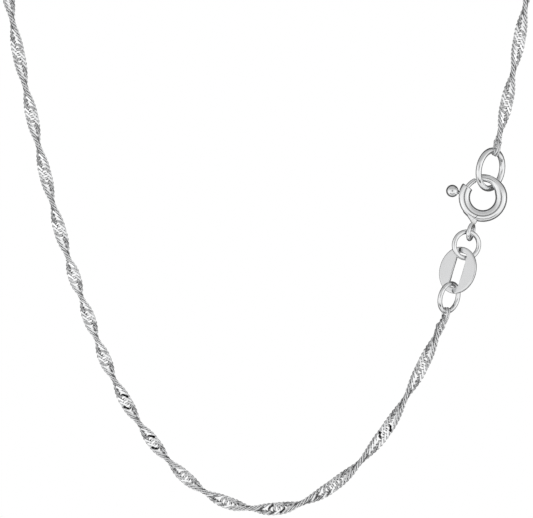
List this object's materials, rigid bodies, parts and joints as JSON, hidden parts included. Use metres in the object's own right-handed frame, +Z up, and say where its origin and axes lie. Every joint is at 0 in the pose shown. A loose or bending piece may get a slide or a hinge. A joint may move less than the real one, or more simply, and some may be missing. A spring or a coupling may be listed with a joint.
{
  "type": "twisted curb chain necklace with a spring ring clasp",
  "caption": "Fine white-metal necklace: a flat curb chain twisted along its length, closed in a loop by a spring ring, jump rings and a slotted oval tag.",
  "frame": {"origin": "middle of the chain where it rests on the nape of the neck", "axes": "+Z up as the necklace hangs, front towards -Y, +X to the viewer's right"},
  "size_m": [0.0916, 0.0867, 0.1415],
  "materials": {
    "chain_metal": "bright white metal, diamond-cut flats on the links",
    "ring_metal": "polished white metal wire",
    "clasp_metal": "polished white metal tube",
    "tag_metal": "smooth pale polished sheet"
  },
  "bodies": {
    "necklace": {"chain": "chain_metal", "end_ring": "ring_metal", "spring_ring": "clasp_metal", "clasp_jump_ring": "ring_metal", "tag": "tag_metal", "tag_jump_ring": "ring_metal"},
    "trigger": {"trigger": "clasp_metal"}
  },
  "joints": [
    {"name": "trigger_slide", "type": "hinge", "parent": "necklace", "child": "trigger", "pos_m": [0.02413, -0.084, -0.10497], "axis": [0, -1, 0], "range_deg": [0, 42], "stiffness_Nm_per_rad": 0.0008, "springref_deg": -17.19}
  ]
}
